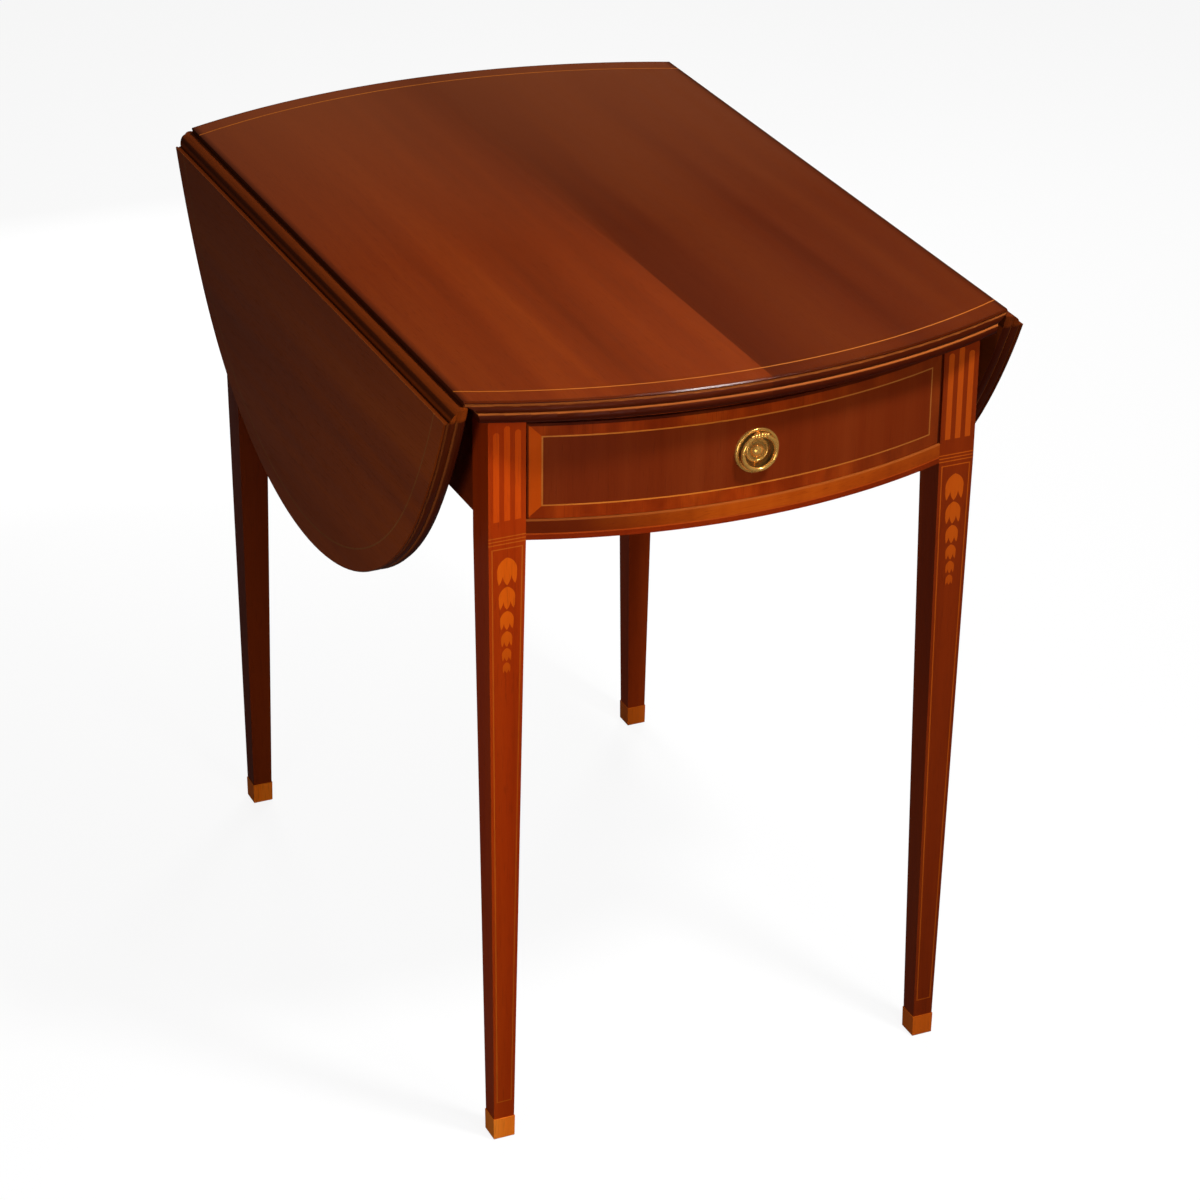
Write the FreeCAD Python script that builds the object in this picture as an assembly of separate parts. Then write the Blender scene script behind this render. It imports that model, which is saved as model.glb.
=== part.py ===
import FreeCAD, Part
import math
import os

# Drop-leaf side table with an oval top: a bow-ended fixed top on four tapered legs, two leaves that
# hang on rule joints, fly brackets that hold the raised leaves, and a drawer with a bowed front.
# Millimetres, +Z up, origin on the floor under the middle of the top.
# The drawer faces -Y. The leaves hang at -X and +X.

os.makedirs("parts", exist_ok=True)
Vector = FreeCAD.Vector
ORIGIN = Vector(0, 0, 0)
ALONG_X = Vector(1, 0, 0)
ALONG_Y = Vector(0, 1, 0)
ALONG_Z = Vector(0, 0, 1)

# Whole table
height = 720.0
top_thickness = 19.0

# Legs: square at the top, tapered below the rails
leg_outer_x = 223.0
leg_outer_y = 333.2
leg_width = 33.0
foot_width = 18.5
outer_taper = 5.65
cuff_height = 21.0
cuff_thickness = 1.8
cuff_proud = 0.6
cuff_round = 1.0

# Rails between the legs
apron_depth = 115.0
lower_rail_height = 18.0
top_rail_height = 11.0
top_rail_inset = 3.0
front_bow = 34.3
tenon_length = 15.0
tenon_shoulder = 2.5

# Side aprons: a fixed rail inside, and outside it a rail that holds the fly bracket
apron_inset = 5.0
apron_thickness = 15.0
side_apron_height = 103.0

# Oval of the open table
end_overhang = 20.5
side_overhang = 22.4
end_bow = 50.6
leaf_depth = 253.2

# Reeded edge of the top and the leaves
arris_chamfer = 1.0
quirk_top = 2.0
quirk_depth = 1.6
quirk_height = 0.7
reed_height = 7.8

# Rule joint, and the hinges in it
lip_depth = 5.0
joint_radius = 11.5
joint_gap = 0.4
hinge_spread = 400.0
hinge_width = 30.0
hinge_plate = 1.6
top_plate_length = 22.0
top_plate_screw_spread = 18.0
leaf_plate_length = 36.0
leaf_screw_edge = 7.2
leaf_screw_step = 14.4
leaf_screw_spread = 15.0
knuckle_radius = 2.5
knuckle_gap = 0.2
knuckle_clearance = 0.35
barrel_room = 1.3
hinge_pin_radius = 1.2

# Fly brackets
bracket_pivot_y = -70.0
bracket_length = 200.0
bracket_gap = 3.0
bracket_play = 0.3
bracket_top_gap = 0.6
bracket_knuckles = 5
bracket_knuckle_gap = 0.4
bracket_pin_radius = 2.5
grip_radius = 14.0

# Drawer
drawer_inset = 1.5
drawer_end_gap = 1.2
drawer_foot_gap = 0.5
drawer_head_gap = 1.0
drawer_front_thickness = 21.0
drawer_side_gap = 1.0
drawer_side_thickness = 11.0
drawer_ride_gap = 0.3
drawer_length = 565.0
drawer_back_thickness = 10.0
drawer_back_drop = 2.0
drawer_bottom_thickness = 6.0
drawer_bottom_rise = 6.0
drawer_groove = 5.0
tail_count = 3
tail_lap = 13.0
tail_root_width = 13.0
tail_end_width = 18.0
runner_width = 26.0
runner_height = 16.0
kicker_width = 22.0
kicker_height = 17.0
kicker_gap = 0.8
stop_spread = 145.0
stop_width = 25.0
stop_depth = 14.0
stop_height = 5.0
stop_gap = 0.3

# Ring pull
plate_radius = 20.0
plate_rim_width = 3.4
plate_rim_height = 2.3
plate_field_height = 0.8
plate_step_radius = 10.2
plate_step_width = 2.0
plate_step_height = 2.0
boss_radius = 6.0
boss_height = 4.4
ring_radius = 15.0
ring_wire_radius = 1.8
ring_stand_off = 6.2
pivot_radius = 1.3
pull_knuckle_radius = 2.6
pull_knuckle_length = 11.0
pull_knuckle_gap = 0.4
knuckle_beads = 4
bead_waist_radius = 2.0
post_radius = 2.0
post_tail = 5.0
nut_across = 8.0
nut_thickness = 3.2
nut_gap = 0.05

# Screws
screw_radius = 1.6
screw_head_radius = 3.2
screw_length = 13.0
screw_rim = 0.2
screw_slot_width = 1.0
screw_slot_depth = 0.8
top_screw_radius = 2.2
top_screw_head_radius = 4.4
top_screw_length = 28.0
top_screw_spread = 440.0

# Fits
fit_gap = 0.05
screw_gap = 0.1

# Inlay
inlay_depth = 0.8
string_width = 1.3
string_inset = 20.5
drawer_border = 11.0
rail_string_rise = 4.6
flute_width = 5.2
flute_spacing = 9.5
flute_rise = 20.6
flute_drop = 15.0
middle_flute_rise = 4.5
band_drops = (-5.6, -2.6, 0.4)
band_width = 1.0
panel_drop = 3.8
panel_inset = 2.6
panel_string_width = 1.0
panel_foot_rise = 38.0
bell_drop = 12.6
bell_width = 17.2
bell_height = 25.5
bell_shrink = 0.83
bell_gap = 1.2
bell_count = 6

# One side of a bellflower from its dome to its tip: arcs by start, middle and end, each point as
# a share of the width across and of the height down
petal_arcs = (
    ((0, 0), (0.37, 0.18), (0.5, 0.56)),
    ((0.5, 0.56), (0.49, 0.78), (0.42, 0.97)),
    ((0.42, 0.97), (0.31, 0.84), (0.21, 0.64)),
    ((0.21, 0.64), (0.14, 0.86), (0, 1)),
)

# Worked out from the sizes above
under_top = height - top_thickness
apron_bottom = under_top - apron_depth
side_apron_bottom = under_top - side_apron_height
opening_bottom = apron_bottom + lower_rail_height
opening_top = under_top - top_rail_height
leg_inner_x = leg_outer_x - leg_width
leg_inner_y = leg_outer_y - leg_width
front_reach = leg_outer_y + front_bow
front_radius = (leg_inner_x ** 2 + front_bow ** 2) / (2 * front_bow)
front_centre_y = front_radius - front_reach
drawer_face_radius = front_radius - drawer_inset
drawer_inner_radius = drawer_face_radius - drawer_front_thickness
apron_outer_x = leg_outer_x - apron_inset
apron_inner_x = apron_outer_x - apron_thickness
bracket_x = -(apron_outer_x + apron_inner_x) / 2
bracket_knuckle_radius = apron_thickness / 2 - bracket_play
bracket_top = under_top - bracket_top_gap
knuckle_step = (bracket_top - side_apron_bottom) / bracket_knuckles
joint_x = leg_outer_x + side_overhang
joint_z = height - lip_depth - joint_radius
bow_reach = front_reach + end_overhang
bow_radius = (joint_x ** 2 + end_bow ** 2) / (2 * end_bow)
bow_centre_y = bow_reach - bow_radius
leaf_reach = joint_x + leaf_depth
tip_radius = (bow_radius ** 2 - leaf_reach ** 2 - bow_centre_y ** 2) / (2 * (bow_radius - leaf_reach))
tip_centre_x = leaf_reach - tip_radius
join_angle = math.degrees(math.atan2(-bow_centre_y, tip_centre_x))
cove_radius = joint_radius + joint_gap
pull_z = (opening_bottom + drawer_foot_gap + opening_top - drawer_head_gap) / 2
pull_face_y = front_centre_y - drawer_face_radius
ring_y = pull_face_y - ring_stand_off
ring_pivot_z = pull_z + ring_radius


# Small helpers

def box(x0, x1, y0, y1, z0, z1):
    return Part.makeBox(x1 - x0, y1 - y0, z1 - z0, Vector(x0, y0, z0))


def rod(radius, start, along, length):
    return Part.makeCylinder(radius, length, start, along)


def sheet(edges):
    return Part.Face(Part.Wire(Part.__sortEdges__(edges)))


def line(a, b):
    return Part.LineSegment(a, b).toShape()


def arc(a, middle, b):
    return Part.Arc(a, middle, b).toShape()


def polygon(points):
    return Part.Face(Part.makePolygon(points + points[:1]))


def joined(shapes):
    first, rest = shapes[0], shapes[1:]
    return first.multiFuse(rest).removeSplitter() if rest else first


def mirror_x(shape):
    return shape.mirror(ORIGIN, ALONG_X)


def mirror_y(shape):
    return shape.mirror(ORIGIN, ALONG_Y)


def half_turn(shape):
    turned = shape.copy()
    turned.rotate(ORIGIN, ALONG_Z, 180)
    return turned


def on_all_legs(shapes):
    """Copies for the four legs of what is made for the front left one."""
    front = list(shapes) + [mirror_x(shape) for shape in shapes]
    return front + [mirror_y(shape) for shape in front]


def export(name, shape):
    if isinstance(shape, (list, tuple)):
        shape = Part.makeCompound(list(shape))
    shape.exportStep("parts/" + name + ".step")


def wood_screw(head_at, along, length, radius, head_radius, grow=0.0):
    """Countersunk slotted screw, its head flush at head_at. grow gives the hole it sits in."""
    shank = radius + grow
    head = head_radius + grow
    cone_end = screw_rim + head - shank
    tip_start = length - 2 * radius
    outline = [Vector(0, 0, -grow), Vector(head, 0, -grow), Vector(head, 0, screw_rim),
               Vector(shank, 0, cone_end), Vector(shank, 0, tip_start), Vector(0, 0, length + grow)]
    solid = polygon(outline).revolve(ORIGIN, ALONG_Z, 360)
    if not grow:
        half_slot = screw_slot_width / 2
        solid = solid.cut(box(-head, head, -half_slot, half_slot, 0, screw_slot_depth))
    solid.Placement = FreeCAD.Placement(head_at, FreeCAD.Rotation(ALONG_Z, along))
    return solid


# Bowed fronts

def bow_y(radius, x):
    return front_centre_y - math.sqrt(radius ** 2 - x ** 2)


def bowed_slab(half, back_y, radius, z0, z1):
    """Slab with a straight back and an arc at the front."""
    left = Vector(-half, bow_y(radius, half), z0)
    middle = Vector(0, bow_y(radius, 0), z0)
    right = Vector(half, bow_y(radius, half), z0)
    back_right = Vector(half, back_y, z0)
    back_left = Vector(-half, back_y, z0)
    edges = [arc(left, middle, right), line(right, back_right),
             line(back_right, back_left), line(back_left, left)]
    return sheet(edges).extrude(Vector(0, 0, z1 - z0))


def bow_core(radius, z0, z1):
    return rod(radius, Vector(0, front_centre_y, z0), ALONG_Z, z1 - z0)


def bowed_shell(half, inner_radius, outer_radius, z0, z1):
    return bowed_slab(half, -leg_inner_y, outer_radius, z0, z1).cut(bow_core(inner_radius, z0, z1))


def bow_string(half, z_low, z_high):
    """Stringing round a rectangle on the drawer's bowed face."""
    ring = bowed_shell(half, drawer_face_radius - inlay_depth, drawer_face_radius, z_low, z_high)
    inside = box(-half + string_width, half - string_width, -bow_reach, 0,
                 z_low + string_width, z_high - string_width)
    return ring.cut(inside)


# Oval top

def edge_cutter(radius, centre, middle_angle, half_angle):
    """What is taken off a square edge of the given radius to leave the reeds."""
    def at(inward, down):
        return Vector(radius - inward, 0, height - down)

    spare = reed_height
    quirk_bottom = quirk_top + quirk_height
    reed_join = quirk_bottom + reed_height
    reed_end = reed_join + reed_height
    edges = [
        line(at(-spare, -spare), at(arris_chamfer, -spare)),
        line(at(arris_chamfer, -spare), at(arris_chamfer, 0)),
        line(at(arris_chamfer, 0), at(0, arris_chamfer)),
        line(at(0, arris_chamfer), at(0, quirk_top)),
        line(at(0, quirk_top), at(quirk_depth, quirk_top)),
        line(at(quirk_depth, quirk_top), at(quirk_depth, quirk_bottom)),
        arc(at(quirk_depth, quirk_bottom), at(0, quirk_bottom + reed_height / 2), at(quirk_depth, reed_join)),
        arc(at(quirk_depth, reed_join), at(0, reed_join + reed_height / 2), at(quirk_depth, reed_end)),
        line(at(quirk_depth, reed_end), at(quirk_depth, top_thickness + spare)),
        line(at(quirk_depth, top_thickness + spare), at(-spare, top_thickness + spare)),
        line(at(-spare, top_thickness + spare), at(-spare, -spare)),
    ]
    profile = sheet(edges)
    profile.rotate(ORIGIN, ALONG_Z, middle_angle - half_angle)
    cutter = profile.revolve(ORIGIN, ALONG_Z, 2 * half_angle)
    cutter.translate(centre)
    return cutter


def bow_end_cutters():
    half_angle = 90 - join_angle
    far = edge_cutter(bow_radius, Vector(0, bow_centre_y, 0), 90, half_angle)
    return [far, mirror_y(far)]


def tip_cutter():
    return edge_cutter(tip_radius, Vector(tip_centre_x, 0, 0), 0, join_angle)


def oval_point(inset, angle):
    """Point of the bowed end at +Y, set in from the edge, at an angle from +X about the bow's centre."""
    turn = math.radians(angle)
    reach = bow_radius - inset
    return Vector(reach * math.cos(turn), bow_centre_y + reach * math.sin(turn), under_top)


def flip_x(point):
    return Vector(-point.x, point.y, point.z)


def flip_y(point):
    return Vector(point.x, -point.y, point.z)


def oval_slab(inset):
    """The open table's plan as a slab, set in from the edge: two bowed ends and two tips."""
    join = oval_point(inset, join_angle)
    bow = oval_point(inset, 90)
    tip = Vector(leaf_reach - inset, 0, under_top)
    edges = [arc(join, bow, flip_x(join)), arc(flip_x(join), flip_x(tip), flip_x(flip_y(join))),
             arc(flip_x(flip_y(join)), flip_y(bow), flip_y(join)), arc(flip_y(join), tip, join)]
    return sheet(edges).extrude(Vector(0, 0, top_thickness))


def plan_between(inset, low_x, high_x):
    """The stretch of the oval from low_x to high_x."""
    return oval_slab(inset).common(box(low_x, high_x, -bow_reach, bow_reach, under_top, height))


def fixed_plan(inset):
    half = joint_x - joint_gap / 2
    return plan_between(inset, -half, half)


def leaf_plan(inset, start_x):
    return plan_between(inset, start_x, leaf_reach)


def string_layer():
    return box(-leaf_reach, leaf_reach, -bow_reach, bow_reach, height - inlay_depth, height)


def top_strings():
    inner = string_inset + string_width / 2
    band = fixed_plan(inner - string_width).cut(fixed_plan(inner)).common(string_layer())
    return band.Solids


def leaf_string():
    inner = string_inset + string_width / 2
    start = joint_x + joint_gap / 2
    band = leaf_plan(inner - string_width, start).cut(leaf_plan(inner, start))
    return band.common(string_layer())


def cove_cutter():
    """Hollow under the +X lip of the fixed top, in which the leaf's round turns."""
    long = 2 * bow_reach
    hollow = rod(cove_radius, Vector(joint_x, -bow_reach, joint_z), ALONG_Y, long)
    below = box(joint_x - cove_radius, joint_x + cove_radius, -bow_reach, bow_reach,
                under_top - joint_gap, joint_z)
    return hollow.fuse(below)


# Rule joint hinges, made for the +X leaf as it lies when raised

def hinge_places():
    return [-hinge_spread / 2, hinge_spread / 2]


def hinge_barrel(radius, y, low, high):
    return rod(radius, Vector(joint_x, y + low, joint_z), ALONG_Y, high - low)


def centre_knuckle_half():
    """Half of the barrel's middle third."""
    return hinge_width / 6


def top_plate(y):
    half = hinge_width / 2
    inner = centre_knuckle_half() + knuckle_gap
    flat = box(joint_x - top_plate_length, joint_x, y - half, y + half, under_top, under_top + hinge_plate)
    notch = box(joint_x - knuckle_radius - knuckle_clearance, joint_x + hinge_plate, y - inner, y + inner,
                under_top - hinge_plate, under_top + knuckle_radius * 2)
    body = flat.cut(notch)
    barrels = [hinge_barrel(knuckle_radius, y, -half, -inner), hinge_barrel(knuckle_radius, y, inner, half)]
    bore = hinge_barrel(hinge_pin_radius + fit_gap, y, -half, half)
    return joined([body] + barrels).cut(bore)


def leaf_plate(y):
    half = hinge_width / 2
    inner = centre_knuckle_half()
    start = joint_x + knuckle_radius + knuckle_clearance
    flat = box(start, joint_x + leaf_plate_length, y - half, y + half, under_top, under_top + hinge_plate)
    tongue = box(joint_x, start + hinge_plate, y - inner, y + inner, under_top, under_top + hinge_plate)
    barrel = hinge_barrel(knuckle_radius, y, -inner, inner)
    bore = hinge_barrel(hinge_pin_radius + fit_gap, y, -half, half)
    return joined([flat, tongue, barrel]).cut(bore)


def hinge_pin(y):
    return hinge_barrel(hinge_pin_radius, y, -hinge_width / 2, hinge_width / 2)


def plate_screw(place, grow):
    return wood_screw(place, ALONG_Z, screw_length, screw_radius, screw_head_radius, grow)


def top_plate_screws(y, grow=0.0):
    x = joint_x - (cove_radius + top_plate_length) / 2
    places = [Vector(x, y + side * top_plate_screw_spread / 2, under_top) for side in (-1, 1)]
    return [plate_screw(place, grow) for place in places]


def leaf_plate_screws(y, grow=0.0):
    far = joint_x + leaf_plate_length - leaf_screw_edge
    near = far - leaf_screw_step
    places = [Vector(near, y + side * leaf_screw_spread / 2, under_top) for side in (-1, 1)]
    places.append(Vector(far, y, under_top))
    return [plate_screw(place, grow) for place in places]


def leaf_pockets(y):
    """Room in the leaf for its plate, the barrel, and the fixed plate when the leaf is up."""
    half = hinge_width / 2 + knuckle_gap
    own = box(joint_x, joint_x + leaf_plate_length, y - hinge_width / 2, y + hinge_width / 2,
              under_top - hinge_plate, under_top + hinge_plate)
    barrel = hinge_barrel(knuckle_radius + barrel_room, y, -half, half)
    crossing = box(joint_x - cove_radius, joint_x, y - half, y + half,
                   under_top - hinge_plate, under_top + hinge_plate + joint_gap)
    return [own, barrel, crossing] + leaf_plate_screws(y, screw_gap)


def fixed_top():
    top = fixed_plan(0)
    hollow = cove_cutter()
    cutters = bow_end_cutters() + [tip_cutter(), mirror_x(tip_cutter()), hollow, mirror_x(hollow)]
    for y in hinge_places():
        half = hinge_width / 2
        seat = box(joint_x - top_plate_length, joint_x, y - half, y + half,
                   under_top - hinge_plate, under_top + hinge_plate)
        right = [seat] + top_plate_screws(y, screw_gap)
        cutters += right + [mirror_x(shape) for shape in right]
    cutters += top_strings()
    cutters += top_screws(screw_gap)
    for cutter in cutters:
        top = top.cut(cutter)
    return top


def raised_leaf():
    """The +X leaf as it lies when raised."""
    start = joint_x + joint_gap / 2
    low = joint_x - cove_radius
    shoulder = joint_z + math.sqrt(joint_radius ** 2 - (joint_gap / 2) ** 2)
    toe = joint_x - math.sqrt(joint_radius ** 2 - (joint_z - under_top) ** 2)
    far = leaf_reach + top_thickness

    def at(x, z):
        return Vector(x, -bow_reach, z)

    slant = joint_radius * math.sqrt(0.5)
    round_middle = at(joint_x - slant, joint_z + slant)
    edges = [line(at(far, height), at(start, height)), line(at(start, height), at(start, shoulder)),
             arc(at(start, shoulder), round_middle, at(toe, under_top)),
             line(at(toe, under_top), at(far, under_top)), line(at(far, under_top), at(far, height))]
    section = sheet(edges).extrude(Vector(0, 2 * bow_reach, 0))
    leaf = leaf_plan(0, low).common(section)
    cutters = bow_end_cutters() + [tip_cutter(), leaf_string()]
    for y in hinge_places():
        cutters += leaf_pockets(y)
    for cutter in cutters:
        leaf = leaf.cut(cutter)
    return leaf


def hang(shape):
    """Turns a raised +X leaf's piece down to where it hangs."""
    hung = shape.copy()
    hung.rotate(Vector(joint_x, 0, joint_z), ALONG_Y, 90)
    return hung


# Legs, made for the front left one

def leg_section(z, grow=0.0):
    share = min(z / apron_bottom, 1.0)
    width = foot_width + (leg_width - foot_width) * share
    edge_x = -leg_outer_x + outer_taper * (1 - share)
    edge_y = -leg_outer_y + outer_taper * (1 - share)
    low_x, low_y = edge_x - grow, edge_y - grow
    high_x, high_y = edge_x + width + grow, edge_y + width + grow
    corners = [Vector(low_x, low_y, z), Vector(high_x, low_y, z),
               Vector(high_x, high_y, z), Vector(low_x, high_y, z)]
    return Part.makePolygon(corners + corners[:1])


def leg_span(z_low, z_high, grow=0.0):
    return Part.makeLoft([leg_section(z_low, grow), leg_section(z_high, grow)], True, True)


def leg_core():
    return leg_span(0, cuff_height, cuff_proud - cuff_thickness)


def leg_blank():
    return joined([leg_span(apron_bottom, under_top), leg_span(cuff_height, apron_bottom), leg_core()])


def cuff():
    outside = leg_span(0, cuff_height, cuff_proud)
    foot_edges = [edge for edge in outside.Edges if edge.BoundBox.ZMax < cuff_height / 2]
    return outside.makeFillet(cuff_round, foot_edges).cut(leg_core())


def face_tilt(shape):
    """Leans a piece made on the upright front face back onto the tapered face below the rails."""
    leant = shape.copy()
    lean = math.degrees(math.atan2(outer_taper, apron_bottom))
    leant.rotate(Vector(0, -leg_outer_y, apron_bottom), ALONG_X, lean)
    return leant


def leg_edges_at(z):
    """X of the front face's outer and inner edges at height z."""
    bounds = leg_section(z).BoundBox
    return bounds.XMin, bounds.XMax


def face_panel(points):
    flat = [Vector(x, -leg_outer_y, z) for x, z in points]
    return polygon(flat).extrude(Vector(0, inlay_depth, 0))


def flutes():
    centre = -leg_outer_x + leg_width / 2
    pieces = []
    for place in (-1, 0, 1):
        x = centre + place * flute_spacing
        low = apron_bottom + flute_rise
        high = under_top - flute_drop - flute_width / 2 + (middle_flute_rise if place == 0 else 0)
        half = flute_width / 2
        strip = face_panel([(x - half, low), (x + half, low), (x + half, high), (x - half, high)])
        dome = rod(half, Vector(x, -leg_outer_y, high), ALONG_Y, inlay_depth)
        pieces.append(joined([strip, dome]))
    return pieces


def leg_bands():
    left, right = -leg_outer_x, -leg_inner_x
    pieces = []
    for drop in band_drops:
        z = apron_bottom - drop
        strip = [(left, z), (right, z), (right, z + band_width), (left, z + band_width)]
        pieces.append(face_panel(strip))
    return pieces


def panel_string():
    """Stringing round the tapered front face."""
    def outline(inset):
        high = apron_bottom - panel_drop - (inset - panel_inset)
        low = panel_foot_rise + (inset - panel_inset)
        high_left, high_right = leg_edges_at(high)
        low_left, low_right = leg_edges_at(low)
        return [(low_left + inset, low), (low_right - inset, low), (high_right - inset, high),
                (high_left + inset, high)]

    frame = face_panel(outline(panel_inset)).cut(face_panel(outline(panel_inset + panel_string_width)))
    return face_tilt(frame)


def bellflower(z, width, tall):
    """One three-petalled husk, its dome at height z."""
    left, right = leg_edges_at(z)
    centre = (left + right) / 2

    def at(across, down):
        return Vector(centre + across * width, -leg_outer_y, z - down * tall)

    edges = []
    for side in (-1, 1):
        for ends_and_middle in petal_arcs:
            start, middle, end = [at(side * across, down) for across, down in ends_and_middle]
            edges.append(arc(start, middle, end))
    return face_tilt(sheet(edges).extrude(Vector(0, inlay_depth, 0)))


def bellflowers():
    pieces = []
    z, width, tall = apron_bottom - bell_drop, bell_width, bell_height
    for _ in range(bell_count):
        pieces.append(bellflower(z, width, tall))
        z -= tall + bell_gap
        width *= bell_shrink
        tall *= bell_shrink
    return pieces


# Rails

def inner_rail():
    """Left inner rail with a tenon at each end."""
    rail = box(-apron_inner_x, -leg_inner_x, -leg_inner_y, leg_inner_y, apron_bottom, under_top)
    end = leg_inner_y + tenon_length
    tenon = box(-apron_inner_x + tenon_shoulder, -leg_inner_x - tenon_shoulder, -end, end,
                opening_bottom + tenon_shoulder, opening_top - tenon_shoulder)
    return joined([rail, tenon])


def cross_rail(radius, z0, z1):
    """Front rail with a bowed edge and a tenon at each end."""
    slab = bowed_slab(leg_inner_x, -leg_inner_y, radius, z0, z1)
    end = leg_inner_x + tenon_length
    tenon = box(-end, end, -leg_outer_y + 2 * tenon_shoulder, -leg_inner_y - 2 * tenon_shoulder,
                z0 + tenon_shoulder, z1 - tenon_shoulder)
    return joined([slab, tenon])


def rail_string():
    low = apron_bottom + rail_string_rise
    return bowed_shell(leg_inner_x, front_radius - inlay_depth, front_radius, low, low + string_width)


# Fly brackets and the outer aprons that hold them, made for the left side

def knuckle_span(level):
    low = side_apron_bottom + level * knuckle_step
    return low + bracket_knuckle_gap / 2, low + knuckle_step - bracket_knuckle_gap / 2


def knuckle_rod(radius, low, high):
    return rod(radius, Vector(bracket_x, bracket_pivot_y, low), ALONG_Z, high - low)


def knuckled(board, own_levels, side):
    """Cuts the finger hinge into a board's end. side is the way the board runs from the pivot."""
    reach = apron_thickness
    bevel = polygon([Vector(bracket_x, bracket_pivot_y, side_apron_bottom),
                     Vector(bracket_x - reach, bracket_pivot_y, side_apron_bottom),
                     Vector(bracket_x - reach, bracket_pivot_y + side * reach, side_apron_bottom)])
    piece = board.cut(bevel.extrude(Vector(0, 0, side_apron_height)))
    for level in range(bracket_knuckles):
        low, high = knuckle_span(level)
        if level in own_levels:
            piece = piece.fuse(knuckle_rod(bracket_knuckle_radius, low, high))
        else:
            room = knuckle_rod(bracket_knuckle_radius + bracket_play, low - bracket_knuckle_gap,
                               high + bracket_knuckle_gap)
            piece = piece.cut(room)
    bore = knuckle_rod(bracket_pin_radius + fit_gap, side_apron_bottom, under_top)
    return piece.cut(bore).removeSplitter()


def fixed_apron():
    board = box(-apron_outer_x, -apron_inner_x, -leg_inner_y, bracket_pivot_y, side_apron_bottom, under_top)
    return knuckled(board, range(0, bracket_knuckles, 2), -1)


def fly_bracket():
    end = bracket_pivot_y + bracket_length
    board = box(-apron_outer_x, -apron_inner_x - bracket_play, bracket_pivot_y, end,
                side_apron_bottom, bracket_top)
    grip = rod(grip_radius, Vector(-apron_outer_x, end, side_apron_bottom), ALONG_X, apron_thickness)
    return knuckled(board.cut(grip), range(1, bracket_knuckles, 2), 1)


def rear_apron():
    start = bracket_pivot_y + bracket_length + bracket_gap
    return box(-apron_outer_x, -apron_inner_x, start, leg_inner_y, side_apron_bottom, under_top)


def bracket_pin():
    return knuckle_rod(bracket_pin_radius, side_apron_bottom, bracket_top)


# Drawer and what it runs on

def drawer_back_y():
    return bow_y(drawer_face_radius, 0) + drawer_length


def drawer_bottom():
    half = leg_inner_x - drawer_side_gap - drawer_side_thickness + drawer_groove
    low = opening_bottom + drawer_ride_gap + drawer_bottom_rise
    high = low + drawer_bottom_thickness
    return bowed_slab(half, drawer_back_y(), drawer_inner_radius + drawer_groove, low, high)


def front_string():
    half = leg_inner_x - drawer_end_gap - drawer_border
    low = opening_bottom + drawer_foot_gap + drawer_border
    high = opening_top - drawer_head_gap - drawer_border
    return bow_string(half, low, high)


def drawer_front():
    half = leg_inner_x - drawer_end_gap
    front = bowed_shell(half, drawer_inner_radius, drawer_face_radius,
                        opening_bottom + drawer_foot_gap, opening_top - drawer_head_gap)
    left_side = drawer_side()
    for cutter in [drawer_bottom(), front_string(), post_shank(fit_gap), left_side, mirror_x(left_side)]:
        front = front.cut(cutter)
    return front


def false_front():
    """Fixed front that fills the rear opening to match the drawer."""
    front = bowed_shell(leg_inner_x, drawer_inner_radius, drawer_face_radius, opening_bottom, opening_top)
    return front.cut(front_string()).cut(post_shank(fit_gap))


def drawer_side():
    outer = leg_inner_x - drawer_side_gap
    front_y = bow_y(drawer_inner_radius, 0)
    low = opening_bottom + drawer_ride_gap
    high = under_top - kicker_height - kicker_gap
    board = box(-outer, -outer + drawer_side_thickness, front_y, drawer_back_y(), low, high)
    inside = bow_core(drawer_inner_radius, low, high)
    behind = box(-outer, outer, front_centre_y, drawer_back_y(), low, high)
    plain = board.common(inside.fuse(behind))
    return joined([plain] + drawer_tails(outer, low, high)).cut(drawer_bottom())


def drawer_tails(outer, low, high):
    """Dovetails at the left side's front end, which run into the front without showing on its face."""
    root_y = bow_y(drawer_inner_radius, outer)
    end_y = root_y - tail_lap
    step = (high - low) / tail_count
    tails = []
    for place in range(tail_count):
        z = low + (place + 0.5) * step
        root_half, end_half = tail_root_width / 2, tail_end_width / 2
        corners = [Vector(-outer, root_y, z - root_half), Vector(-outer, root_y, z + root_half),
                   Vector(-outer, end_y, z + end_half), Vector(-outer, end_y, z - end_half)]
        tails.append(polygon(corners).extrude(Vector(drawer_side_thickness, 0, 0)))
    return tails


def drawer_back():
    half = leg_inner_x - drawer_side_gap - drawer_side_thickness
    low = opening_bottom + drawer_ride_gap + drawer_bottom_rise + drawer_bottom_thickness
    high = under_top - kicker_height - kicker_gap - drawer_back_drop
    return box(-half, half, drawer_back_y() - drawer_back_thickness, drawer_back_y(), low, high)


def runner():
    return box(-leg_inner_x, -leg_inner_x + runner_width, -leg_inner_y, leg_inner_y,
               opening_bottom - runner_height, opening_bottom)


def top_screws(grow=0.0):
    x = leg_inner_x - kicker_width / 2
    places = []
    for side in (-1, 1):
        for y in (-top_screw_spread / 2, 0, top_screw_spread / 2):
            places.append(Vector(side * x, y, under_top - kicker_height))
    return [wood_screw(place, ALONG_Z, top_screw_length, top_screw_radius, top_screw_head_radius, grow)
            for place in places]


def kicker():
    strip = box(-leg_inner_x, -leg_inner_x + kicker_width, -leg_inner_y, leg_inner_y,
                under_top - kicker_height, under_top)
    for hole in top_screws(screw_gap):
        strip = strip.cut(hole)
    return strip


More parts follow.
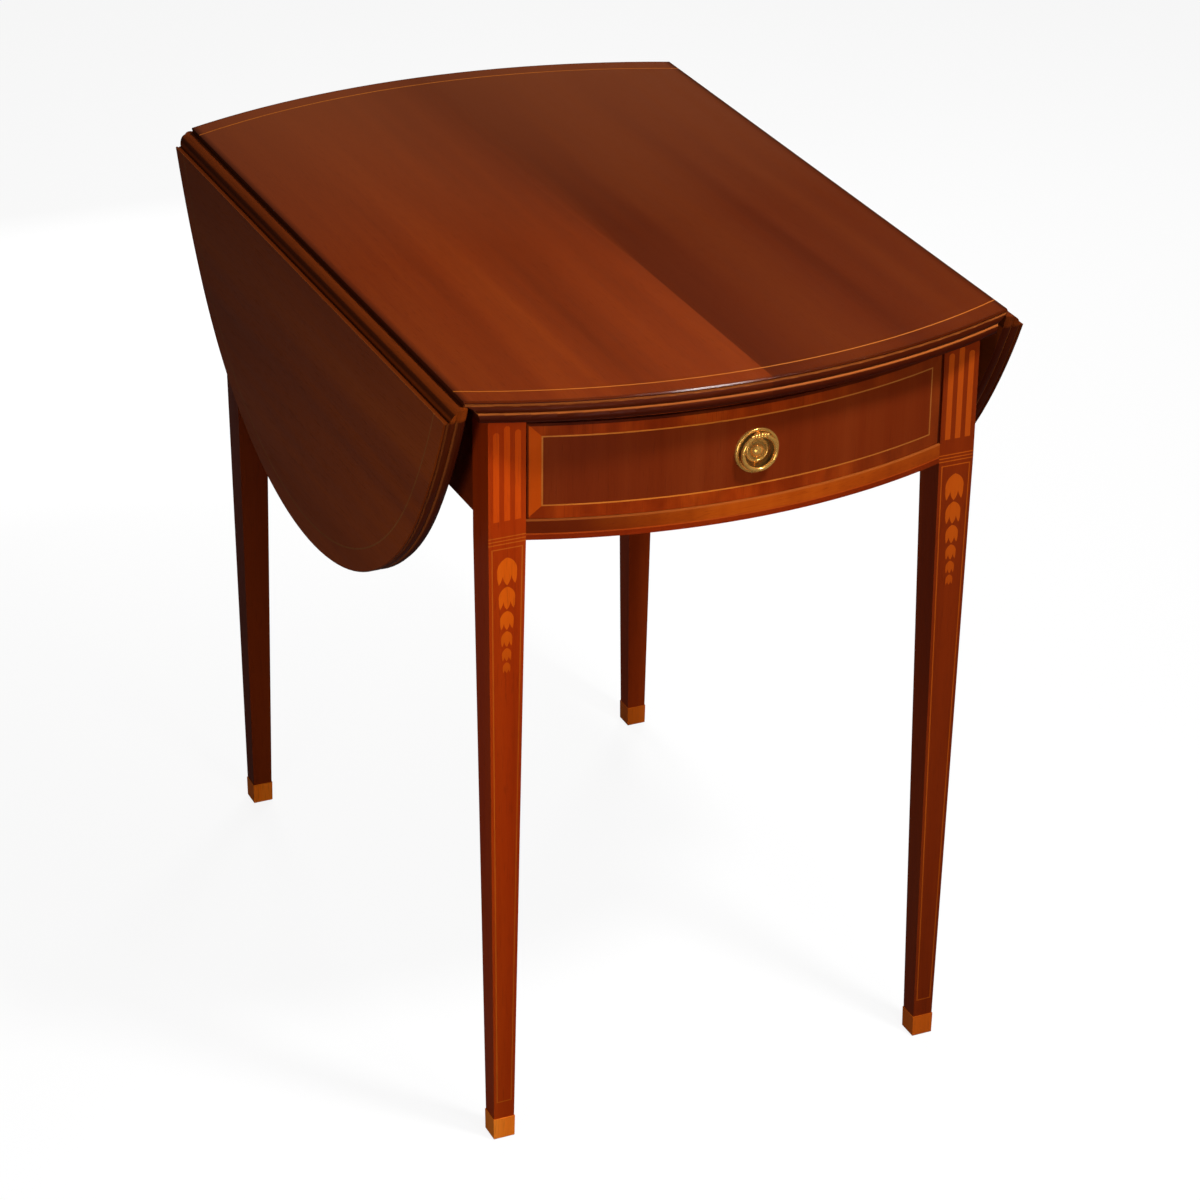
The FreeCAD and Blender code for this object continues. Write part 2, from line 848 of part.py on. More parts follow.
def drawer_stops():
    inner = stop_spread / 2 - stop_width / 2
    outer = inner + stop_width
    front_y = bow_y(drawer_inner_radius, outer) + stop_gap
    block = box(inner, outer, front_y, front_y + stop_depth, opening_bottom, opening_bottom + stop_height)
    return [block, mirror_x(block)]


# Ring pull, made for the drawer

def pull_plate():
    def at(radius, stand):
        return Vector(radius, pull_face_y - stand, 0)

    field_edge = plate_radius - plate_rim_width
    rim_middle = plate_radius - plate_rim_width / 2
    step_inner = plate_step_radius - plate_step_width
    step_middle = plate_step_radius - plate_step_width / 2
    back = at(0, -drawer_inset)
    dome_height = boss_height - plate_field_height
    dome_radius = (boss_radius ** 2 + dome_height ** 2) / (2 * dome_height)
    dome_turn = math.asin(boss_radius / dome_radius) / 2
    dome = at(dome_radius * math.sin(dome_turn), boss_height - dome_radius * (1 - math.cos(dome_turn)))
    edges = [line(back, at(plate_radius, -drawer_inset)),
             line(at(plate_radius, -drawer_inset), at(plate_radius, plate_field_height)),
             arc(at(plate_radius, plate_field_height), at(rim_middle, plate_rim_height),
                 at(field_edge, plate_field_height)),
             line(at(field_edge, plate_field_height), at(plate_step_radius, plate_field_height)),
             arc(at(plate_step_radius, plate_field_height), at(step_middle, plate_step_height),
                 at(step_inner, plate_field_height)),
             line(at(step_inner, plate_field_height), at(boss_radius, plate_field_height)),
             arc(at(boss_radius, plate_field_height), dome, at(0, boss_height)),
             line(at(0, boss_height), back)]
    disc = sheet(edges).revolve(ORIGIN, ALONG_Y, 360)
    disc.translate(Vector(0, 0, pull_z))
    inside = bow_core(drawer_face_radius, pull_z - 2 * plate_radius, pull_z + 2 * plate_radius)
    return disc.cut(inside).cut(post_shank(fit_gap))


def post_shank(grow=0.0):
    tail = bow_y(drawer_inner_radius, 0) + post_tail
    return rod(post_radius + grow, Vector(0, ring_y, ring_pivot_z), ALONG_Y, tail - ring_y)


def pivot_rod(radius, length):
    return rod(radius, Vector(-length / 2, ring_y, ring_pivot_z), ALONG_X, length)


def beaded_knuckle():
    """Row of turned beads across the head of the post."""
    half = pull_knuckle_length / 2
    step = pull_knuckle_length / knuckle_beads

    def at(x, radius):
        return Vector(x, 0, radius)

    edges = [line(at(half, bead_waist_radius), at(half, 0)), line(at(half, 0), at(-half, 0)),
             line(at(-half, 0), at(-half, bead_waist_radius))]
    for bead in range(knuckle_beads):
        low = bead * step - half
        edges.append(arc(at(low, bead_waist_radius), at(low + step / 2, pull_knuckle_radius),
                         at(low + step, bead_waist_radius)))
    row = sheet(edges).revolve(ORIGIN, ALONG_X, 360)
    row.translate(Vector(0, ring_y, ring_pivot_z))
    return row


def pull_post():
    knuckle = beaded_knuckle()
    bore = pivot_rod(pivot_radius + fit_gap, pull_knuckle_length)
    return joined([post_shank(), knuckle]).cut(bore)


def pull_nut():
    across = nut_across / math.sqrt(3)
    y = bow_y(drawer_inner_radius, 0) + nut_gap
    corners = []
    for corner in range(6):
        turn = math.radians(60 * corner)
        corners.append(Vector(across * math.cos(turn), y, ring_pivot_z + across * math.sin(turn)))
    nut = polygon(corners).extrude(Vector(0, nut_thickness, 0))
    return nut.cut(post_shank(fit_gap))


def pull_ring():
    hoop = Part.makeTorus(ring_radius, ring_wire_radius, Vector(0, ring_y, pull_z), ALONG_Y)
    half = pull_knuckle_length / 2 + pull_knuckle_gap
    wide = 2 * ring_wire_radius
    gap = box(-half, half, ring_y - wide, ring_y + wide, pull_z, ring_pivot_z + wide)
    pivot = pivot_rod(pivot_radius, 2 * (half + ring_wire_radius))
    return joined([hoop.cut(gap), pivot])


# Frame

export("fixed_top", fixed_top())
export("top_string_inlays", top_strings())

lower_rail = cross_rail(front_radius, apron_bottom, opening_bottom)
upper_rail = cross_rail(front_radius - top_rail_inset, opening_top, under_top)
rail_line = rail_string()
left_rail = inner_rail()

leg_inlays = flutes() + bellflowers() + leg_bands() + [panel_string()]
leg = leg_blank()
for piece in leg_inlays + [lower_rail, upper_rail, left_rail]:
    leg = leg.cut(piece)
export("front_left_leg", leg)
export("front_right_leg", mirror_x(leg))
export("rear_left_leg", mirror_y(leg))
export("rear_right_leg", half_turn(leg))
export("leg_cuffs", on_all_legs([cuff()]))
export("leg_flute_inlays", on_all_legs(flutes()))
export("leg_bellflower_inlays", on_all_legs(bellflowers()))
export("leg_string_inlays", on_all_legs(leg_bands() + [panel_string()]))

export("front_lower_rail", lower_rail.cut(rail_line))
export("rear_lower_rail", mirror_y(lower_rail.cut(rail_line)))
export("rail_string_inlays", [rail_line, mirror_y(rail_line)])
export("front_top_rail", upper_rail)
export("rear_top_rail", mirror_y(upper_rail))
export("rear_false_front", mirror_y(false_front()))
export("rear_string_inlay", mirror_y(front_string()))

export("left_inner_rail", left_rail)
export("right_inner_rail", mirror_x(left_rail))
export("left_front_apron", fixed_apron())
export("left_rear_apron", rear_apron())
export("right_rear_apron", half_turn(fixed_apron()))
export("right_front_apron", half_turn(rear_apron()))
export("fly_bracket_pins", [bracket_pin(), half_turn(bracket_pin())])
export("left_fly_bracket", fly_bracket())
export("right_fly_bracket", half_turn(fly_bracket()))

export("left_drawer_runner", runner())
export("right_drawer_runner", mirror_x(runner()))
export("left_kicker", kicker())
export("right_kicker", mirror_x(kicker()))
export("top_screws", top_screws())
export("drawer_stops", drawer_stops())

# Leaves and their hinges

plates = [top_plate(y) for y in hinge_places()]
plate_screws = [screw for y in hinge_places() for screw in top_plate_screws(y)]
for index, y in enumerate(hinge_places()):
    for hole in top_plate_screws(y, screw_gap):
        plates[index] = plates[index].cut(hole)
pins = [hinge_pin(y) for y in hinge_places()]
export("right_hinge_top_plates", plates)
export("left_hinge_top_plates", [mirror_x(plate) for plate in plates])
export("hinge_top_screws", plate_screws + [mirror_x(screw) for screw in plate_screws])
export("hinge_pins", pins + [mirror_x(pin) for pin in pins])

leaf = hang(raised_leaf())
leaf_line = hang(leaf_string())
flaps = []
flap_screws = []
for y in hinge_places():
    flap = leaf_plate(y)
    for hole in leaf_plate_screws(y, screw_gap):
        flap = flap.cut(hole)
    flaps.append(hang(flap))
    flap_screws += [hang(screw) for screw in leaf_plate_screws(y)]
export("right_leaf", leaf)
export("left_leaf", mirror_x(leaf))
export("right_leaf_string", leaf_line)
export("left_leaf_string", mirror_x(leaf_line))
export("right_hinge_leaf_plates", flaps)
export("left_hinge_leaf_plates", [mirror_x(flap) for flap in flaps])
export("right_hinge_leaf_screws", flap_screws)
export("left_hinge_leaf_screws", [mirror_x(screw) for screw in flap_screws])

# Drawer and the ring pulls

export("drawer_front", drawer_front())
export("drawer_string_inlay", front_string())
export("drawer_left_side", drawer_side())
export("drawer_right_side", mirror_x(drawer_side()))
export("drawer_back", drawer_back())
export("drawer_bottom", drawer_bottom())
export("pull_plate", pull_plate())
export("pull_post", pull_post())
export("pull_nut", pull_nut())
export("pull_ring", pull_ring())
export("rear_pull_plate", mirror_y(pull_plate()))
export("rear_pull_post", mirror_y(pull_post()))
export("rear_pull_nut", mirror_y(pull_nut()))
export("rear_pull_ring", mirror_y(pull_ring()))
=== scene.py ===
import math

import bpy
from mathutils import Matrix, Vector


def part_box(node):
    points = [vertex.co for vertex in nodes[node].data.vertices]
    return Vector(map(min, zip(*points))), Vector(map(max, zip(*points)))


# Drop-leaf side table in polished mahogany with satinwood inlay, on a plain pale floor.
# Metres, +Z up, the drawer faces -Y and the leaves hang at -X and +X.

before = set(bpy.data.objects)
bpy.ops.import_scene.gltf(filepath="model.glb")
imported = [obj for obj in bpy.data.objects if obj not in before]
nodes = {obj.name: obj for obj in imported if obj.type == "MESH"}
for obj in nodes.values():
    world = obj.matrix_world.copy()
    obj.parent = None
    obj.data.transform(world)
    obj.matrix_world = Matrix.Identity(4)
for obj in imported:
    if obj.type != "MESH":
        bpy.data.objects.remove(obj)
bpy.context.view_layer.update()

# Colours of the finished surfaces: one colour, or dark, middle and light of one wood
TOP_LEFT_BOARD = ("#662408", "#7A2D0A", "#8B390D")
TOP_RIGHT_BOARD = ("#511A05", "#602206", "#6B2A08")
TOP_SHADE = "#42160A"
TOP_FAR_END = "#7C3E20"
# The left leaf's tones are lighter than the right leaf's: painted light for the dim side it hangs on.
LEFT_LEAF_PAINTED_LIGHT = ("#782F08", "#8A390A", "#98430E")
RIGHT_LEAF = ("#642507", "#742E09", "#82380C")
LEG = ("#782004", "#8F2A04", "#9F3708")
# The front right leg's wood is a darker copy of the leg's: painted shade.
FRONT_RIGHT_LEG_PAINTED_SHADE = ("#621D06", "#742607", "#82310A")
# The rear left leg's wood is a darker copy of the leg's: painted shade.
REAR_LEFT_LEG_PAINTED_SHADE = ("#5E1D06", "#6E2608", "#7A2E0A")
REAR_RIGHT_LEG = ("#782406", "#8A2E08", "#983A0E")
APRON = ("#5A1C06", "#74280A", "#863410")
RAIL = ("#8C3206", "#A0420A", "#B05212")
RAIL_FOOT = ("#661A04", "#7C2406", "#8C2E08")
# Painted shade at the left end of the rail.
RAIL_PAINTED_SHADE = "#4E1404"
RAIL_STRING = ("#8A3008", "#9C3A0B", "#AA4612")
DRAWER_PANEL = ("#5C1C06", "#672309", "#722C0E")
CROSSBAND = ("#6A1F05", "#8A2F08", "#9A3E0D")
CROSSBAND_LEFT = "#C04A08"
# Painted shade towards the right end of the rail and of the drawer's crossbanding.
FRONT_RIGHT_PAINTED_SHADE = "#52220C"
DRAWER_BACK = ("#7A3A1A", "#8E4A24", "#A05A30")
LINING = ("#8A6238", "#A67C4C", "#BC945F")
SATINWOOD = ("#9A3004", "#B03C06", "#BC480A")
# The darker satinwood, cuff and bellflower tones below are painted shade on the right legs' inlays.
SATINWOOD_PAINTED_SHADE = "#8E4410"
CUFF = ("#CC5E10", "#E66E16", "#F28628")
CUFF_PAINTED_SHADE = "#9C3A0C"
BELLFLOWER = ("#AA4205", "#BE4E08", "#CA5A0D")
BELLFLOWER_PAINTED_SHADE = "#92400E"
LOW_BELLFLOWER = "#8A3006"
STRING = ("#9C4E14", "#BC6620", "#CC7A30")
# Darkens the drawer string at both ends; at the right end it is painted shade.
DRAWER_STRING_SHADE = "#6A3C1A"
LEAF_STRING = ("#7A4216", "#8E5020", "#9C5C28")
LEG_STRING = ("#8C3808", "#A4480E", "#B45616")
# Painted shade on the moulded edges, the top's rim, the leaf joints and the drawer's gaps, and a painted
# highlight on the reeds, the leaf joints' arris and the rail's upper arris.
EDGE_PAINTED_SHADE = "#240A04"
REED_PAINTED_SHADE = "#360D03"
EDGE_PAINTED_HIGHLIGHT = "#AC5C26"
PORE = "#2A0C04"
LINING_PORE = "#5A3A1C"
BRASS = "#FABA5C"
BRASS_TARNISH = "#9C6424"
BRASS_PATINA = "#54300C"
STEEL = "#8F8C86"
STEEL_DARK = "#4E4A44"

# A ramp below is (low, high, result at low, result at high) for Paint.spread. One of two values gives 0 to 1,
# or has its results where it is used.

# Layers of the wood: features per metre across the grain, features per metre along it, detail of the noise
FIGURE = (16.0, 0.9, 3.0)
BANDS = (60.0, 1.8, 4.0)
FIBRES = (600.0, 14.0, 2.0)
PORES = (1300.0, 55.0, 1.0)
WANDER = (3.0, 1.3, 2.0)
WANDER_REACH = 0.03
PORE_RAMP = (0.58, 0.72)
NOISE_MIDDLE = 0.5

# How the layers mix into colour, roughness and relief
FIGURE_SHARE, BANDS_SHARE, FIBRES_SHARE = 0.7, 0.3, 0.12
DARK_TO_MIDDLE = (0.3, 0.5)
MIDDLE_TO_LIGHT = (0.5, 0.72)
PORE_SHARE, PANEL_PORE_SHARE, LINING_PORE_SHARE = 0.22, 0.12, 0.4
ROUGH_BANDS_SHARE, ROUGH_PORES_SHARE = 0.7, 0.3
ROUGH_RAMP = (0.25, 0.75)
FIBRE_HEIGHT, PORE_DEPTH = 0.3, 0.7

# Finish of the wood
POLISH_ROUGHNESS = (0.3, 0.44)
POLISH_RELIEF = 0.00006
POLISH_SPECULAR = 0.06
FRONT_SPECULAR = 0.025
ARRIS_ROUGHNESS = 0.12
REED_ROUGHNESS = 0.36
UNDERSIDE_ROUGHNESS = 0.85
LINING_ROUGHNESS = (0.62, 0.8)
LINING_RELIEF = 0.00012
LINING_SPECULAR = 0.25

# Moulded edge of the top and the leaves, as depths below the board's face
EDGE_ARRIS = 0.001
REED_START = 0.0027
REED_HEIGHT = 0.0078
REEDS = 2
REED_SHOULDER = (0.0010, 0.0019)
EDGE_UNDERSIDE = (0.0125, 0.0150)
# Painted shadow under the lower reed, and painted shade on the arris.
UNDERSIDE_PAINTED_SHADOW = 0.95
ARRIS_PAINTED_SHADE_SHARE = 0.5
RIM_FACING = (0.9, 0.97, 1.0, 0.0)
# Shares of painted shade (polish) and of painted highlight on the top's and the leaves' moulded edges.
TOP_EDGE_PAINTED_LIGHT = {"polish": 0.72, "painted_highlight": 0.78}
LEAF_EDGE_PAINTED_LIGHT = {"polish": 0.88, "painted_highlight": 0.3}

# Top: the seam of its boards is sharp near the drawer and wavy and soft further back
BOARD_SEAM_X = 0.002
BOARD_SHIFT = 1.7
SEAM_WAVES_PER_METRE = 7.0
SEAM_WAVE_DETAIL = 2.0
SEAM_WAVE = (-0.1, 0.15, 0.0, 0.02)
SEAM_BLUR = (-0.15, 0.1, 0.0003, 0.012)
FAR_END_START = -0.05
FAR_END_SHARE = 0.8
RIGHT_SHADE_REACH = 0.11
RIGHT_SHADE = (-0.3, 0.3, 0.18, 0.2)
LEFT_SHADE_REACH = 0.08
LEFT_SHADE = (-0.14, 0.1, 0.0, 0.35)
LEFT_EDGE_SHADE = 0.25
# Painted shade along the top's joints and its bowed rim.
JOINT_PAINTED_SHADE_REACH = 0.0065
JOINT_PAINTED_SHADE = 0.75
END_BOW = 0.0506
RIM_PAINTED_SHADE = (0.0006, 0.0038, 0.45, 0.0)
LIP_THICKNESS = 0.001

# Leaf, at its rule joint and underneath
JOINT_MARGIN = 0.001
LEDGE_ARRIS = 0.001
# Painted highlight on the ledge's arris, and painted shade on the ledge and the round of the rule joint.
LEDGE_PAINTED_HIGHLIGHT = 0.12
LEDGE_PAINTED_SHADE = 0.45
ROUND_VALLEY_FACING = 0.83
ROUND_PAINTED_SHADE = (0.06, 0.13, 0.75, 0.2)
UNDERSIDE_FACING = (-0.9, -0.7)

# Rail, drawer front and inlays
MOTTLE_PER_METRE = 42.0
RAIL_MOTTLE_DETAIL = 2.0
RAIL_MOTTLE = (0.35, 0.75, 0.0, 0.35)
# Painted shade at the rail's ends and a painted highlight on its upper arris.
RAIL_LEFT_PAINTED_SHADE = (-0.15, -0.02, 0.9, 0.0)
RAIL_RIGHT_PAINTED_SHADE = (0.04, 0.17, 0.0, 0.3)
RAIL_ARRIS = 0.0012
RAIL_ARRIS_PAINTED_HIGHLIGHT = 0.5
DRAWER_THICKNESS = 0.021
BAND_MOTTLE_PER_METRE_UP = 20.0
BAND_MOTTLE_DETAIL = 3.0
BAND_MOTTLE = (0.4, 0.62, 0.0, 0.75)
BAND_LEFT_SHARE = 0.6
# Painted shade towards the right of the crossbanding.
BAND_RIGHT_PAINTED_SHADE = (0.0, 0.15, 0.0, 0.55)
# Painted shadow in the gaps at the drawer's head and sides.
DRAWER_GAP_HEAD, DRAWER_GAP_SIDE = 0.0024, 0.0014
DRAWER_GAP_PAINTED_SHADOW = 0.8
# Painted shade at the string's right end; its left end is darker too.
STRING_RIGHT_PAINTED_SHADE = (-0.05, 0.15, 0.0, 0.6)
STRING_LEFT_END = (-0.19, -0.15, 0.5, 0.0)
# Painted shade on the right legs' inlays.
RIGHT_INLAY_PAINTED_SHADE = 0.5
LOW_BELLFLOWER_SHARE = 0.5

# Metal: roughness from low to high, and dull patches per metre
METALLIC = 0.75
METAL_SPECULAR = 0.5
PULL_FINISH = {"roughness": (0.18, 0.3), "patches": 160.0}
HINGE_FINISH = {"roughness": (0.25, 0.45), "patches": 60.0}
STEEL_FINISH = {"roughness": (0.3, 0.5), "patches": 300.0}
PATCH_DETAIL = 4.0
TARNISH = (0.45, 0.8, 0.0, 0.5)
RUBS_PER_METRE, RUBS_PER_METRE_UP = 900.0, 2600.0
RUB_DETAIL = 2.0
RUB_RELIEF = 0.000004
ROUGH_PATCH_SHARE, ROUGH_RUB_SHARE = 0.7, 0.3
METAL_ROUGH_RAMP = (0.3, 0.7)
PLATE_FIELD = (0.0104, 0.0166)
PLATE_FIELD_PATINA = 0.8
PLATE_CENTRE = (0.0058, 0.0084)
PLATE_CENTRE_PATINA = 0.25

# Camera, fitted to the photograph's 1200 pixel square
PHOTO_WIDTH = 1200
FOCAL_PIXELS = 3802.5
SENSOR_WIDTH = 36.0
CAMERA_TARGET = Vector((-0.0384, -0.1435, 0.4111))
CAMERA_AZIMUTH = math.radians(-24.19)
CAMERA_ELEVATION = math.radians(27.23)
CAMERA_DISTANCE = 3.374
CAMERA_ROLL = math.radians(0.63)

# Light. The fills have no shine, and the sparks hang below the top's face, so that neither veils the polish.
AMBIENT = 0.15
AMBIENT_IN_REFLECTIONS = 0.05
LAMPS = {
    "key": {"place": (0.55, -1.25, 2.42), "aim": (0.0, -0.15, 0.6), "size": 0.34, "watts": 44.0},
    "front_fill": {"place": (0.15, -1.4, 1.05), "aim": (-0.05, -0.1, 0.42), "size": 0.45, "watts": 6.4,
                   "shine": False},
    "left_fill": {"place": (-1.0, -0.75, 0.5), "aim": (-0.22, -0.2, 0.45), "size": 0.4, "watts": 2.5,
                  "shine": False},
    "back_fill": {"place": (1.3, 1.9, 1.9), "aim": (0.0, 0.0, 0.4), "size": 0.8, "watts": 20.0,
                  "shine": False},
    "rear_fill": {"place": (0.1, 1.9, 0.6), "aim": (0.0, 0.3, 0.42), "size": 0.5, "watts": 11.0,
                  "shine": False},
    "front_spark": {"place": (-0.3, -1.3, 0.52), "aim": (0.0, -0.3, 0.65), "size": 0.3, "watts": 2.0},
    "rear_spark": {"place": (0.3, 1.3, 0.52), "aim": (0.0, 0.3, 0.65), "size": 0.3, "watts": 2.0},
}

# Stage
STAGE_RADIUS = 30.0
STAGE_SIDES = 64
BACKDROP_HEIGHT = 6.0
STAGE_GLOW = 0.88
STAGE_GLOW_IN_REFLECTIONS = 0.02
STAGE_COLOUR = 0.12
STAGE_COLOUR_IN_BOUNCES = 0.06


def linear(code):
    """A hex colour as linear red, green, blue and alpha, by the sRGB curve."""
    channels = []
    for place in (1, 3, 5):
        part = int(code[place:place + 2], 16) / 255
        channels.append(part / 12.92 if part <= 0.04045 else ((part + 0.055) / 1.055) ** 2.4)
    return (*channels, 1.0)


class Paint:
    """A material under construction. Its methods add nodes and return sockets."""

    def __init__(self, name):
        self.material = bpy.data.materials.new(name)
        self.material.use_nodes = True
        self.nodes = self.material.node_tree.nodes
        self.links = self.material.node_tree.links
        self.shader = self.nodes["Principled BSDF"]

    def feed(self, socket, value):
        if isinstance(value, bpy.types.NodeSocket):
            self.links.new(value, socket)
        else:
            socket.default_value = value

    def add(self, kind, settings, inputs):
        node = self.nodes.new(kind)
        for key, value in settings.items():
            setattr(node, key, value)
        for key, value in inputs.items():
            self.feed(node.inputs[key], value)
        return node

    def place(self):
        """X, Y and Z in the table's own frame."""
        where = self.nodes.new("ShaderNodeTexCoord").outputs["Object"]
        return self.add("ShaderNodeSeparateXYZ", {}, {0: where}).outputs

    def facing(self):
        """X, Y and Z of the direction that the surface faces, in the table's own frame."""
        normal = self.nodes.new("ShaderNodeTexCoord").outputs["Normal"]
        return self.add("ShaderNodeSeparateXYZ", {}, {0: normal}).outputs

    def calculate(self, operation, first, second=0.0):
        return self.add("ShaderNodeMath", {"operation": operation}, {0: first, 1: second}).outputs[0]

    def times(self, first, second):
        return self.calculate("MULTIPLY", first, second)

    def plus(self, first, second):
        return self.calculate("ADD", first, second)

    def minus(self, first, second):
        return self.calculate("SUBTRACT", first, second)

    def larger(self, first, second):
        return self.calculate("MAXIMUM", first, second)

    def size_of(self, value):
        return self.calculate("ABSOLUTE", value)

    def over(self, value, limit):
        """1 where value is over limit, else 0."""
        return self.calculate("GREATER_THAN", value, limit)

    def length(self, first, second):
        """The long side of a right triangle with these two sides."""
        return self.calculate("SQRT", self.plus(self.times(first, first), self.times(second, second)))

    def vector(self, x, y, z):
        return self.add("ShaderNodeCombineXYZ", {}, {0: x, 1: y, 2: z}).outputs[0]

    def noise(self, where, detail):
        inputs = {"Vector": where, "Scale": 1.0, "Detail": detail}
        return self.add("ShaderNodeTexNoise", {}, inputs).outputs[0]

    def spread(self, value, low, high, at_low=0.0, at_high=1.0):
        """Maps low..high to at_low..at_high, held at the ends."""
        inputs = {"Value": value, "From Min": low, "From Max": high, "To Min": at_low, "To Max": at_high}
        return self.add("ShaderNodeMapRange", {}, inputs).outputs[0]

    def choose(self, share, first, second):
        """A number between first, at share 0, and second, at share 1."""
        return self.spread(share, 0.0, 1.0, first, second)

    def blend(self, share, first, second):
        """A colour between first, at share 0, and second, at share 1."""
        node = self.add("ShaderNodeMix", {"data_type": "RGBA"}, {})
        for key, value in zip((0, 6, 7), (share, first, second)):
            self.feed(node.inputs[key], value)
        return node.outputs[2]

    def finish(self, colour, roughness, height, depth, specular):
        """Feeds the shader. height from 0 to 1 raises the surface by up to depth metres."""
        bump = self.add("ShaderNodeBump", {}, {"Strength": 1.0, "Distance": depth, "Height": height})
        self.feed(self.shader.inputs["Base Color"], colour)
        self.feed(self.shader.inputs["Roughness"], roughness)
        self.feed(self.shader.inputs["Normal"], bump.outputs[0])
        self.shader.inputs["Specular IOR Level"].default_value = specular
        return self.material


# Wood

class Grain:
    """The layers of one piece of wood, each from 0 to 1, for a grain that runs along one coordinate."""

    def __init__(self, paint, along, across, depth):
        self.paint = paint
        self.along, self.across, self.depth = along, across, depth
        wander = paint.minus(self.layer(*WANDER), NOISE_MIDDLE)
        self.across = paint.plus(across, paint.times(wander, WANDER_REACH))
        self.figure = self.layer(*FIGURE)
        self.bands = self.layer(*BANDS)
        self.fibres = self.layer(*FIBRES)
        self.pores = paint.spread(self.layer(*PORES), *PORE_RAMP)

    def layer(self, across_rate, along_rate, detail):
        paint = self.paint
        where = paint.vector(paint.times(self.along, along_rate), paint.times(self.across, across_rate),
                             paint.times(self.depth, across_rate))
        return paint.noise(where, detail)

    def colour(self, tones, pore=PORE, pore_share=PORE_SHARE):
        """Dark to light by the figure and the bands, with the fibres and pores drawn in."""
        paint = self.paint
        dark, middle, light = [linear(tone) for tone in tones]
        tone = paint.plus(paint.times(self.figure, FIGURE_SHARE), paint.times(self.bands, BANDS_SHARE))
        tone = paint.plus(tone, paint.times(paint.minus(self.fibres, NOISE_MIDDLE), FIBRES_SHARE))
        lower = paint.blend(paint.spread(tone, *DARK_TO_MIDDLE), dark, middle)
        whole = paint.blend(paint.spread(tone, *MIDDLE_TO_LIGHT), lower, light)
        return paint.blend(paint.times(self.pores, pore_share), whole, linear(pore))

    def roughness(self, low, high):
        paint = self.paint
        mixed = paint.plus(paint.times(self.bands, ROUGH_BANDS_SHARE),
                           paint.times(self.pores, ROUGH_PORES_SHARE))
        return paint.spread(mixed, *ROUGH_RAMP, low, high)

    def relief(self):
        """Height of the surface, lowest in the pores."""
        paint = self.paint
        return paint.minus(paint.times(self.fibres, FIBRE_HEIGHT), paint.times(self.pores, PORE_DEPTH))


def polished(paint, grain, colour, roughness=None, specular=POLISH_SPECULAR):
    if roughness is None:
        roughness = grain.roughness(*POLISH_ROUGHNESS)
    return paint.finish(colour, roughness, grain.relief(), POLISH_RELIEF, specular)


def plain_wood(name, tones, axis):
    """Polished wood with its grain along one axis."""
    paint = Paint(name)
    x, y, z = paint.place()
    along, across, depth = {"X": (x, z, y), "Y": (y, x, z), "Z": (z, x, y)}[axis]
    grain = Grain(paint, along, across, depth)
    return polished(paint, grain, grain.colour(tones))


class Moulding:
    """The reeded edge of a board. depth is measured from the board's face, facing is how far the surface
    turns to that face, and where is 1 on the parts of the board that have the edge."""

    def __init__(self, paint, depth, facing, where):
        self.paint, self.depth = paint, depth
        self.rim = paint.times(where, paint.spread(paint.size_of(facing), *RIM_FACING))
        self.below_arris = paint.over(depth, EDGE_ARRIS)

    # polish is the share of painted shade on the edge, and the last argument the share of painted highlight.
    def colour(self, wood, polish, painted_highlight):
        """Painted shade on the edge, painted shadow darkest underneath, and a painted highlight on the
        shoulder of each reed.
        """
        paint = self.paint
        reeds = paint.spread(self.depth, *EDGE_UNDERSIDE, polish, UNDERSIDE_PAINTED_SHADOW)
        dark = paint.times(self.rim, paint.choose(self.below_arris, polish * ARRIS_PAINTED_SHADE_SHARE, reeds))
        reeded = paint.times(paint.over(self.depth, REED_START),
                             paint.over(REED_START + REEDS * REED_HEIGHT, self.depth))
        into_reed = paint.calculate("MODULO", paint.minus(self.depth, REED_START), REED_HEIGHT)
        shoulder = paint.times(paint.times(self.rim, reeded),
                               paint.spread(into_reed, *REED_SHOULDER, painted_highlight, 0.0))
        return paint.blend(shoulder, paint.blend(dark, wood, linear(REED_PAINTED_SHADE)), linear(EDGE_PAINTED_HIGHLIGHT))

    def roughness(self, wood):
        """Smooth on the handled arris, duller on the reeds."""
        paint = self.paint
        edge = paint.choose(self.below_arris, ARRIS_ROUGHNESS, REED_ROUGHNESS)
        return paint.choose(self.rim, wood, edge)


